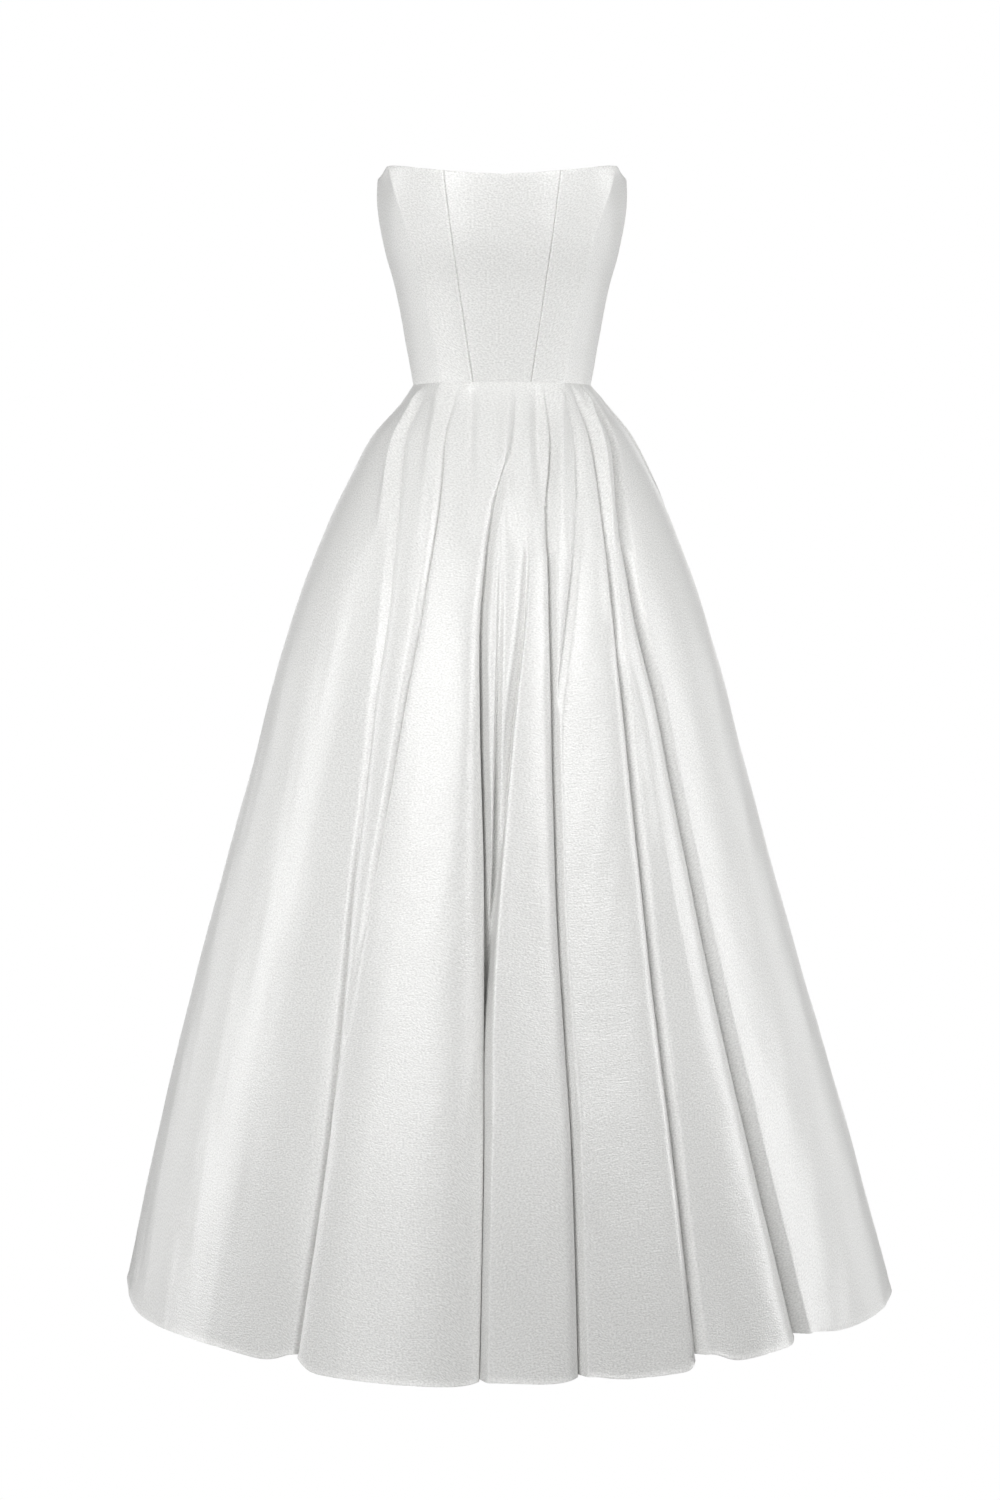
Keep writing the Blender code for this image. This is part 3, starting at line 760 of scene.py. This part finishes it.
def waist_inward(azimuth):
    """How far in the bodice's panels end at the waist, where the skirt meets them."""
    waist = BODICE_SEAMS[0]
    edges = (-waist.front, waist.front, waist.side, waist.back, CENTRE_BACK)
    away = np.abs(turned(azimuth))
    inward = np.zeros_like(away)
    for flat, near, far in zip(PANEL_FLATS, edges[:-1], edges[1:]):
        share = (away - near) / (far - near)
        inward += np.where((share >= 0) & (share < 1), panel_inward(flat, share), 0)
    return inward


def bodice_grid(panel, low_edge, high_edge, mirrored):
    """A panel's outer face, in rows from the top down, between two seams given as azimuths at a height."""
    share = np.linspace(0, 1, BODICE_COLUMNS[panel])
    share = (share - BODICE_CROWDING * np.sin(math.tau * share))[None, :]
    up = np.linspace(1, 0, BODICE_ROWS)[:, None]
    height = up * TOP_EDGE[0].height * np.ones_like(share)
    # The top row's height depends on its azimuth, and that on the height, so some passes settle both.
    for _ in range(TOP_PASSES):
        azimuth = low_edge(height) + (high_edge(height) - low_edge(height)) * share
        top = top_height(azimuth)
        height = WAIST_GAP / 2 + up * (top - WAIST_GAP / 2)
    radius = bodice_radius(azimuth, height)
    flat = next(row for row in PANEL_FLATS if row.panel == panel)
    inward = panel_inward(flat, 1 - share if mirrored else share)
    width = np.radians(high_edge(height) - low_edge(height)) * radius
    near, far = PANEL_SEAMS[panel]
    low_seam, high_seam = (far, near) if mirrored else (near, far)
    inward = inward + seam_dip(low_seam, share * width, height)
    inward += seam_dip(high_seam, (1 - share) * width, height)
    inward += EDGE_ROLL * np.exp(-((top - height) / EDGE_ROLL_WIDTH) ** 2)
    inward += BODICE_UNEVENNESS * waves(np.radians(azimuth) * radius, height, BODICE_WAVES)
    outward, _ = directions(azimuth)
    return np.concatenate([(radius - inward)[..., None] * outward, height[..., None]], -1)


# ------------------------------------------------------------------ skirt's shape


def skirt_half_width(drop):
    return table_curve(drop, SKIRT_SECTIONS, "half_width")


def fold_value(fold, name, drop):
    """One column of a fold, at any drop."""
    return curve(drop, fold.drops, getattr(fold, name))


def fold_distance(fold, azimuth, drop, radius):
    """How far a point is round the ring from the bottom of a fold."""
    return np.radians(turned(azimuth - fold_value(fold, "azimuth", drop))) * radius


def fall(distance, low, high, powers):
    """1 at the bottom of a fold, falling to 0 over the low side's and the high side's widths."""
    power = np.where(distance < 0, *powers)
    return np.exp(-(np.abs(distance / np.where(distance < 0, low, high)) ** power))


def skirt_point(azimuth, drop):
    """A point on the skirt's outer face: the ring of its crests, less the folds, flats and unevenness."""
    half_width = skirt_half_width(drop)
    depth = half_width * table_curve(drop, SKIRT_SECTIONS, "roundness")
    crest = ring_radius(azimuth, half_width, depth, table_curve(drop, SKIRT_SQUARENESS, "power"))
    inward = np.zeros_like(crest)
    aside = np.zeros_like(crest)
    for rows, powers in ((FOLDS, None), (LAPS, EVEN), (GATHERS, ROUND), (FLATS, ROUND)):
        for fold in rows:
            sides = powers or (LOW_ON_TOP if min(fold.lap, default=0) < 0 else HIGH_ON_TOP)
            distance = fold_distance(fold, azimuth, drop, half_width)
            low = fold_value(fold, "low", drop)
            high = fold_value(fold, "high", drop)
            inward += fall(distance, low, high, sides) * fold_value(fold, "depth", drop)
            if fold.lap:
                lap = fall(distance, TUCK_WIDTH, TUCK_WIDTH, ROUND) * fold_value(fold, "lap", drop)
                inward += TUCK_DEPTH * np.abs(lap)
                aside += lap
    around = np.radians(turned(azimuth)) * half_width
    uneven = table_curve(drop, SKIRT_UNEVENNESS, "amount")
    inward += uneven * waves(around, drop, SKIRT_WAVES)
    inward += SMALL_SHARE * uneven * waves(around, drop, SMALL_WAVES)
    inward -= HEM_EDGE * np.exp(-(((HEM_DROP - drop) / HEM_EDGE_WIDTH) ** 2))
    blend = np.exp(-((drop / WAIST_BLEND) ** 2))
    inward = blend * waist_inward(azimuth) + (1 - blend) * inward
    aside *= 1 - blend
    outward, sideways = directions(azimuth)
    plan = (crest - inward)[..., None] * outward + aside[..., None] * sideways
    plan[..., 0] += table_curve(drop, SKIRT_SECTIONS, "middle")
    rise = np.zeros_like(crest)
    for row in HEM_RISES:
        distance = np.radians(turned(azimuth - row.azimuth)) * half_width
        rise += row.rise * fall(distance, row.low, row.high, ROUND)
    rise *= np.clip((drop - RISE_FROM) / (HEM_DROP - RISE_FROM), 0, 1) ** 2
    return np.concatenate([plan, (rise - drop)[..., None]], -1)


def skirt_rows(count):
    """Drops from the waist to the hem, closer together at the top and along the hem's edge."""
    share = np.linspace(0, 1, count - len(HEM_ROWS) + 1)
    drop = HEM_DROP * (EVEN_STEPS * share + (1 - EVEN_STEPS) * share**STEP_POWER)
    drop[0] = WAIST_GAP / 2
    return np.append(drop[:-1], HEM_DROP - np.array(HEM_ROWS))[:, None]


def skirt_grid(low_edge, high_edge, columns, rows):
    """A panel's outer face. Its columns crowd together along the folds and creases."""
    drop = skirt_rows(rows)
    fine = np.linspace(0, 1, CROWD_STEPS)[None, :]
    azimuth = low_edge(drop) + (high_edge(drop) - low_edge(drop)) * fine
    radius = skirt_half_width(drop)
    crowd = np.ones_like(azimuth)
    for fold in (*FOLDS, *GATHERS):
        distance = fold_distance(fold, azimuth, drop, radius)
        present = np.clip(np.abs(fold_value(fold, "depth", drop)) / CROWD_DEPTH, 0, 1)
        low = SIDES_REACH * fold_value(fold, "low", drop)
        high = SIDES_REACH * fold_value(fold, "high", drop)
        crowd += present * SIDES_CROWD * fall(distance, low, high, ROUND)
        crowd += present * BOTTOM_CROWD * fall(distance, BOTTOM_REACH, BOTTOM_REACH, ROUND)
    total = np.cumsum(crowd, axis=1)
    total = (total - total[:, :1]) / (total[:, -1:] - total[:, :1])
    wanted = np.linspace(0, 1, columns)
    found = np.stack([np.interp(wanted, total[row], azimuth[row]) for row in range(rows)])
    return skirt_point(found, np.broadcast_to(drop, found.shape).copy())


# ------------------------------------------------------------------ making meshes


def grid_normals(points):
    """The outward direction at each point of a grid."""
    across = np.gradient(points, axis=1)
    down = np.gradient(points, axis=0)
    normal = np.cross(across, -down)
    normal /= np.linalg.norm(normal, axis=-1, keepdims=True)
    away = points * (1, 1, 0)
    return normal * np.sign((normal * away).sum(-1).mean())


def lengths(points, axis):
    """How far along the cloth each point of a grid is, across it or down it."""
    steps = np.linalg.norm(np.diff(points, axis=axis), axis=-1)
    return np.insert(np.cumsum(steps, axis=axis), 0, 0, axis=axis)


def quads(first, flip):
    """The cells of a grid of vertex numbers."""
    cells = np.stack([first[:-1, :-1], first[1:, :-1], first[1:, 1:], first[:-1, 1:]], -1).reshape(-1, 4)
    return cells[:, ::-1] if flip else cells


def cloth_mesh(name, outer, thickness):
    """A closed thin shell from a grid of its outer face, with a UV map in metres along the cloth."""
    rows, columns = outer.shape[:2]
    normal = grid_normals(outer)
    inner = outer - thickness * normal
    front = np.arange(rows * columns).reshape(rows, columns)
    back = front + rows * columns
    # With rows going down and azimuths going up, the front's cells face outwards in this order.
    faces = [quads(front, False), quads(back, True)]
    rims = (
        (front[0, :], back[0, :]),
        (back[-1, :], front[-1, :]),
        (back[:, 0], front[:, 0]),
        (front[:, -1], back[:, -1]),
    )
    for one, other in rims:
        faces.append(np.stack([one[:-1], one[1:], other[1:], other[:-1]], -1))
    faces = np.concatenate(faces)
    points = np.concatenate([outer.reshape(-1, 3), inner.reshape(-1, 3)]) * MM
    mesh = bpy.data.meshes.new(name)
    mesh.vertices.add(len(points))
    mesh.vertices.foreach_set("co", points.ravel())
    mesh.loops.add(faces.size)
    mesh.loops.foreach_set("vertex_index", faces.ravel())
    mesh.polygons.add(len(faces))
    mesh.polygons.foreach_set("loop_start", np.arange(0, faces.size, 4))
    mesh.update(calc_edges=True)
    mesh.validate()
    mesh.shade_smooth()
    mesh.set_sharp_from_angle(angle=math.radians(SMOOTH_TO))
    along = lengths(outer, 1)
    along = along - along.mean(1, keepdims=True)
    down = lengths(outer, 0)
    place = np.stack([along, -down], -1).reshape(-1, 2) * MM
    place = np.concatenate([place, place])
    layer = mesh.uv_layers.new(name="cloth")
    layer.uv.foreach_set("vector", place[faces.ravel()].astype(np.float32).ravel())
    return mesh


def make_piece(name, mesh, material, node):
    """A mesh in the place of a CAD node, on the dress."""
    made = bpy.data.objects.new(name, mesh)
    bpy.context.scene.collection.objects.link(made)
    made.data.materials.append(material)
    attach(made, "dress")
    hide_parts(node)
    return made


def make_panel(node, outer, thickness, material):
    name = node + "_satin"
    return make_piece(name, cloth_mesh(name, outer, thickness), material, node)


# ------------------------------------------------------------------ materials


def node_tree(name):
    """A new material, with its tree of nodes and its one shader."""
    made = bpy.data.materials.new(name)
    made.use_nodes = True
    tree = made.node_tree
    shader = tree.nodes["Principled BSDF"]
    return made, tree, shader


def scaled_noise(tree, source, scale, detail, roughness=0.5):
    """Noise whose grain has its own size along the cloth and down it."""
    mapping = tree.nodes.new("ShaderNodeMapping")
    mapping.inputs["Scale"].default_value = scale
    tree.links.new(source, mapping.inputs["Vector"])
    noise = tree.nodes.new("ShaderNodeTexNoise")
    noise.inputs["Scale"].default_value = 1.0
    noise.inputs["Detail"].default_value = detail
    noise.inputs["Roughness"].default_value = roughness
    tree.links.new(mapping.outputs["Vector"], noise.inputs["Vector"])
    return noise.outputs["Fac"]


def add_bump(tree, height, distance, strength, under=None):
    """Relief from a height, on top of the relief under it."""
    bump = tree.nodes.new("ShaderNodeBump")
    bump.inputs["Distance"].default_value = distance
    bump.inputs["Strength"].default_value = strength
    tree.links.new(height, bump.inputs["Height"])
    if under is not None:
        tree.links.new(under, bump.inputs["Normal"])
    return bump.outputs["Normal"]


def map_to(tree, source, low, high, from_low=0.3, from_high=0.7):
    """The middle of a noise's range, spread over another range."""
    ranged = tree.nodes.new("ShaderNodeMapRange")
    ranged.inputs["From Min"].default_value = from_low
    ranged.inputs["From Max"].default_value = from_high
    ranged.inputs["To Min"].default_value = low
    ranged.inputs["To Max"].default_value = high
    tree.links.new(source, ranged.inputs["Value"])
    return ranged.outputs["Result"]


def blend_colours(tree, share, low, high):
    mix = tree.nodes.new("ShaderNodeMix")
    mix.data_type = "RGBA"
    mix.inputs["A"].default_value = (*low, 1)
    mix.inputs["B"].default_value = (*high, 1)
    tree.links.new(share, mix.inputs["Factor"])
    return mix.outputs["Result"]


def make_satin(name):
    """Heavy satin with a fine horizontal slub."""
    made, tree, shader = node_tree(name)
    shader.inputs["Specular IOR Level"].default_value = SATIN_SPECULAR
    uv = tree.nodes.new("ShaderNodeUVMap")
    uv.uv_map = "cloth"
    noises = {}
    normal = None
    for relief in SATIN_RELIEF:
        noise = scaled_noise(tree, uv.outputs["UV"], relief.scale, relief.detail, relief.roughness)
        normal = add_bump(tree, noise, relief.distance, relief.strength, normal)
        noises[relief.name] = noise
    tree.links.new(normal, shader.inputs["Normal"])
    tree.links.new(map_to(tree, noises["slub"], *SATIN_ROUGHNESS), shader.inputs["Roughness"])
    tone = map_to(tree, noises["grain"], 0, 1, *TONE_RANGE)
    tree.links.new(blend_colours(tree, tone, *SATIN_TONES), shader.inputs["Base Color"])
    return made


def make_tape(name):
    """Plain woven tape: fine ribs across it."""
    made, tree, shader = node_tree(name)
    shader.inputs["Roughness"].default_value = TAPE_ROUGHNESS
    place = tree.nodes.new("ShaderNodeTexCoord").outputs["Object"]
    ribs = tree.nodes.new("ShaderNodeTexWave")
    ribs.bands_direction = "Z"
    ribs.inputs["Scale"].default_value = TAPE_RIBS
    ribs.inputs["Distortion"].default_value = TAPE_UNEVENNESS
    tree.links.new(place, ribs.inputs["Vector"])
    tree.links.new(add_bump(tree, ribs.outputs["Fac"], *TAPE_RELIEF), shader.inputs["Normal"])
    tree.links.new(blend_colours(tree, ribs.outputs["Fac"], *TAPE_TONES), shader.inputs["Base Color"])
    return made


def make_nylon(name):
    """Smooth nylon wire with a faint grain."""
    made, tree, shader = node_tree(name)
    place = tree.nodes.new("ShaderNodeTexCoord").outputs["Object"]
    grain = scaled_noise(tree, place, NYLON_GRAIN, 1.0)
    tree.links.new(map_to(tree, grain, *NYLON_ROUGHNESS), shader.inputs["Roughness"])
    tree.links.new(blend_colours(tree, grain, *NYLON_TONES), shader.inputs["Base Color"])
    return made


def make_metal(name):
    """Plated metal with fine brushing along it and a little wear."""
    made, tree, shader = node_tree(name)
    shader.inputs["Metallic"].default_value = 1.0
    place = tree.nodes.new("ShaderNodeTexCoord").outputs["Object"]
    brushing = scaled_noise(tree, place, METAL_BRUSHING, 2.0)
    worn = scaled_noise(tree, place, METAL_WEAR, 2.0)
    tree.links.new(add_bump(tree, brushing, *METAL_RELIEF), shader.inputs["Normal"])
    tree.links.new(map_to(tree, worn, *METAL_ROUGHNESS), shader.inputs["Roughness"])
    tree.links.new(blend_colours(tree, worn, *METAL_TONES), shader.inputs["Base Color"])
    return made


# ------------------------------------------------------------------ pieces


def apart(edge, distance):
    """The same edge, moved round the dress by a distance."""
    return lambda height: edge(height) + math.degrees(distance / SEAM_RADIUS)


def make_bodice(material):
    half_gap = SEAM_GAP / 2

    def seam(name, side):
        return lambda height: bodice_seam(name, height, side)

    def centre_back(side):
        return lambda height: side * CENTRE_BACK + np.zeros_like(height)

    middle_edges = (apart(seam("front", -1), half_gap), apart(seam("front", 1), -half_gap))
    jobs = [("centre_front", "", *middle_edges, 1)]
    for side, word in ((-1, "_left"), (1, "_right")):
        spans = (
            ("side_front", seam("front", side), seam("side", side), half_gap, half_gap),
            ("side", seam("side", side), seam("back", side), half_gap, half_gap),
            ("back", seam("back", side), centre_back(side), half_gap, ZIP_OPENING / 2),
        )
        for panel, near, far, near_gap, far_gap in spans:
            low = apart(near, side * near_gap)
            high = apart(far, -side * far_gap)
            edges = (low, high) if side > 0 else (high, low)
            jobs.append((panel, word, *edges, side))
    for panel, word, low, high, side in jobs:
        outer = bodice_grid(panel, low, high, side < 0)
        made = make_panel(f"bodice_{panel}{word}", outer, BODICE_CLOTH, material)


def skirt_edge(azimuth, way, half_gap):
    """A panel's edge, clear of the seam at an azimuth by half its gap, towards higher azimuths or lower."""
    return lambda drop: azimuth + np.degrees(way * half_gap(drop) / skirt_half_width(drop))


def centre_back_gap(drop):
    """Half the gap at the centre back: the zip's opening, and below it a seam."""
    return np.where(drop <= ZIP_DROP, ZIP_OPENING / 2, SEAM_GAP / 2)


def side_gap(drop):
    return np.full_like(drop, SEAM_GAP / 2)


def make_skirt(material):
    right = (SIDE_SEAM, side_gap)
    back = (CENTRE_BACK, centre_back_gap)
    jobs = (
        ("skirt_front", (-SIDE_SEAM, side_gap), right, SKIRT_FRONT_GRID),
        ("skirt_back_right", right, back, SKIRT_BACK_GRID),
        ("skirt_back_left", back, (FULL_TURN - SIDE_SEAM, side_gap), SKIRT_BACK_GRID),
    )
    for node, (low_azimuth, low_gap), (high_azimuth, high_gap), grid in jobs:
        low = skirt_edge(low_azimuth, 1, low_gap)
        high = skirt_edge(high_azimuth, -1, high_gap)
        outer = skirt_grid(low, high, *grid)
        made = make_panel(node, outer, SKIRT_CLOTH, material)


def strip_path(node):
    """The middle of a CAD strip that runs down the dress: rows of depth and height in millimetres."""
    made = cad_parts[node]
    places = np.array([made.matrix_world @ corner.co for corner in made.data.vertices]) / MM
    heights = np.unique(places[:, 2].round(1))[::-1]
    depths = [places[np.abs(places[:, 2] - height) < ROW_TOLERANCE, 1].mean() for height in heights]
    return np.array(depths), heights


def tube(points, radius, sides):
    """A closed round wire along a path: its points, and its faces with those of its capped ends."""
    along = np.gradient(points, axis=0)
    along /= np.linalg.norm(along, axis=1, keepdims=True)
    across = np.cross(along, (0.0, 0.0, 1.0))
    across /= np.linalg.norm(across, axis=1, keepdims=True)
    above = np.cross(across, along)
    turn = np.linspace(0, math.tau, sides, endpoint=False)[None, :, None]
    rings = points[:, None] + radius * (np.cos(turn) * across[:, None] + np.sin(turn) * above[:, None])
    number = np.arange(len(points) * sides).reshape(len(points), sides)
    number = np.concatenate([number, number[:, :1]], 1)
    faces = [tuple(face) for face in quads(number, False).tolist()]
    faces.append(tuple(number[0, :-1][::-1].tolist()))
    faces.append(tuple(number[-1, :-1].tolist()))
    return rings.reshape(-1, 3), faces


def make_coils(material):
    """The zip's closed teeth: two interlocked coils down the middle of the CAD strip."""
    depths, heights = strip_path("zip_teeth")
    steps = np.hypot(np.diff(depths), np.diff(heights))
    reach = np.insert(np.cumsum(steps), 0, 0.0)
    margin = COIL_PITCH
    # The second coil starts half a turn further on, so both are half a turn shorter than the strip allows.
    turns = (reach[-1] - 2 * margin) / COIL_PITCH - 0.5
    phase = np.linspace(0, math.tau * turns, int(turns * COIL_TURN_STEPS))
    middle = (COIL_OUT - COIL_PAST_MIDDLE) / 2
    swing = (COIL_OUT + COIL_PAST_MIDDLE) / 2
    points, faces = [], []
    for side, start in ((-1, 0.0), (1, COIL_PITCH / 2)):
        travel = margin + start + phase / math.tau * COIL_PITCH
        x = side * (middle + swing * np.cos(phase))
        depth = np.interp(travel, reach, depths) + COIL_HALF_DEPTH * np.sin(phase)
        height = np.interp(travel, reach, heights)
        wire, wire_faces = tube(np.stack([x, depth, height], -1), COIL_WIRE, COIL_WIRE_SIDES)
        first = sum(map(len, points))
        faces.extend(tuple(first + corner for corner in face) for face in wire_faces)
        points.append(wire)
    mesh = bpy.data.meshes.new("zip_coils")
    mesh.from_pydata((np.concatenate(points) * MM).tolist(), [], faces)
    mesh.shade_smooth()
    make_piece("zip_coils", mesh, material, "zip_teeth")


def finish_zip():
    make_coils(make_nylon("zip_nylon"))
    tape = make_tape("woven_tape")
    metal = make_metal("plated_metal")
    looks = {"zip_tape_left": tape, "zip_tape_right": tape, "zip_slider": metal, "zip_pull": metal}
    for node, material in looks.items():
        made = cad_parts[node]
        made.data.materials.clear()
        made.data.materials.append(material)
        if material is metal:
            edge = made.modifiers.new("soft_edges", "BEVEL")
            edge.width = METAL_EDGE * MM
            edge.segments = 2
            edge.limit_method = "ANGLE"


# ------------------------------------------------------------------ making the studio


def make_camera():
    data = bpy.data.cameras.new("camera")
    data.sensor_width = CAMERA_SENSOR
    data.lens = CAMERA_LENS
    camera = bpy.data.objects.new("camera", data)
    bpy.context.scene.collection.objects.link(camera)
    camera.location = CAMERA_PLACE
    camera.rotation_euler = (math.radians(CAMERA_TILT), 0, 0)
    bpy.context.scene.camera = camera


def make_stage():
    """A pale floor and a sphere far behind. They glow white in the picture, and don't light the dress."""
    made, tree, shader = node_tree("white_stage")
    shader.inputs["Base Color"].default_value = (0, 0, 0, 1)
    shader.inputs["Roughness"].default_value = 1.0
    shader.inputs["Specular IOR Level"].default_value = 0.0
    shader.inputs["Emission Color"].default_value = (1, 1, 1, 1)
    shader.inputs["Emission Strength"].default_value = 1.0
    bpy.ops.mesh.primitive_uv_sphere_add(segments=64, ring_count=32, radius=BACKDROP_RADIUS)
    backdrop = bpy.context.object
    backdrop.name = "backdrop"
    bpy.ops.mesh.primitive_plane_add(size=FLOOR_SIZE, location=(0, 0, FLOOR_HEIGHT))
    floor = bpy.context.object
    floor.name = "floor"
    for stage in (backdrop, floor):
        stage.data.materials.append(made)
        stage.visible_diffuse = False
        stage.visible_glossy = False
        stage.visible_shadow = False


def make_world():
    world = bpy.data.worlds.new("studio")
    world.use_nodes = True
    background = world.node_tree.nodes["Background"]
    background.inputs["Color"].default_value = (1.0, 1.0, 1.0, 1.0)
    background.inputs["Strength"].default_value = ROOM_LIGHT
    bpy.context.scene.world = world
    bpy.context.scene.view_settings.view_transform = "Standard"


def make_lights():
    for box in SOFT_BOXES:
        data = bpy.data.lights.new(box.name, "AREA")
        data.shape = "RECTANGLE"
        data.size = box.width
        data.size_y = box.height
        data.energy = box.watts
        data.spread = math.radians(box.spread)
        light = bpy.data.objects.new(box.name, data)
        bpy.context.scene.collection.objects.link(light)
        outward, _ = directions(box.bearing)
        down = math.atan2(box.middle - box.faced, box.distance)
        place = Matrix.Translation((*(outward * box.distance), box.middle))
        bearing = Matrix.Rotation(math.radians(box.bearing), 4, "Z")
        tilt = Matrix.Rotation(math.radians(90) - down, 4, "X")
        lean = Matrix.Rotation(math.radians(box.lean), 4, "Z")
        light.matrix_world = place @ (bearing @ tilt) @ lean
        light.visible_camera = False


def main():
    satin = make_satin("ivory_satin")
    make_bodice(satin)
    make_skirt(satin)
    finish_zip()
    make_camera()
    make_stage()
    make_world()
    make_lights()


main()
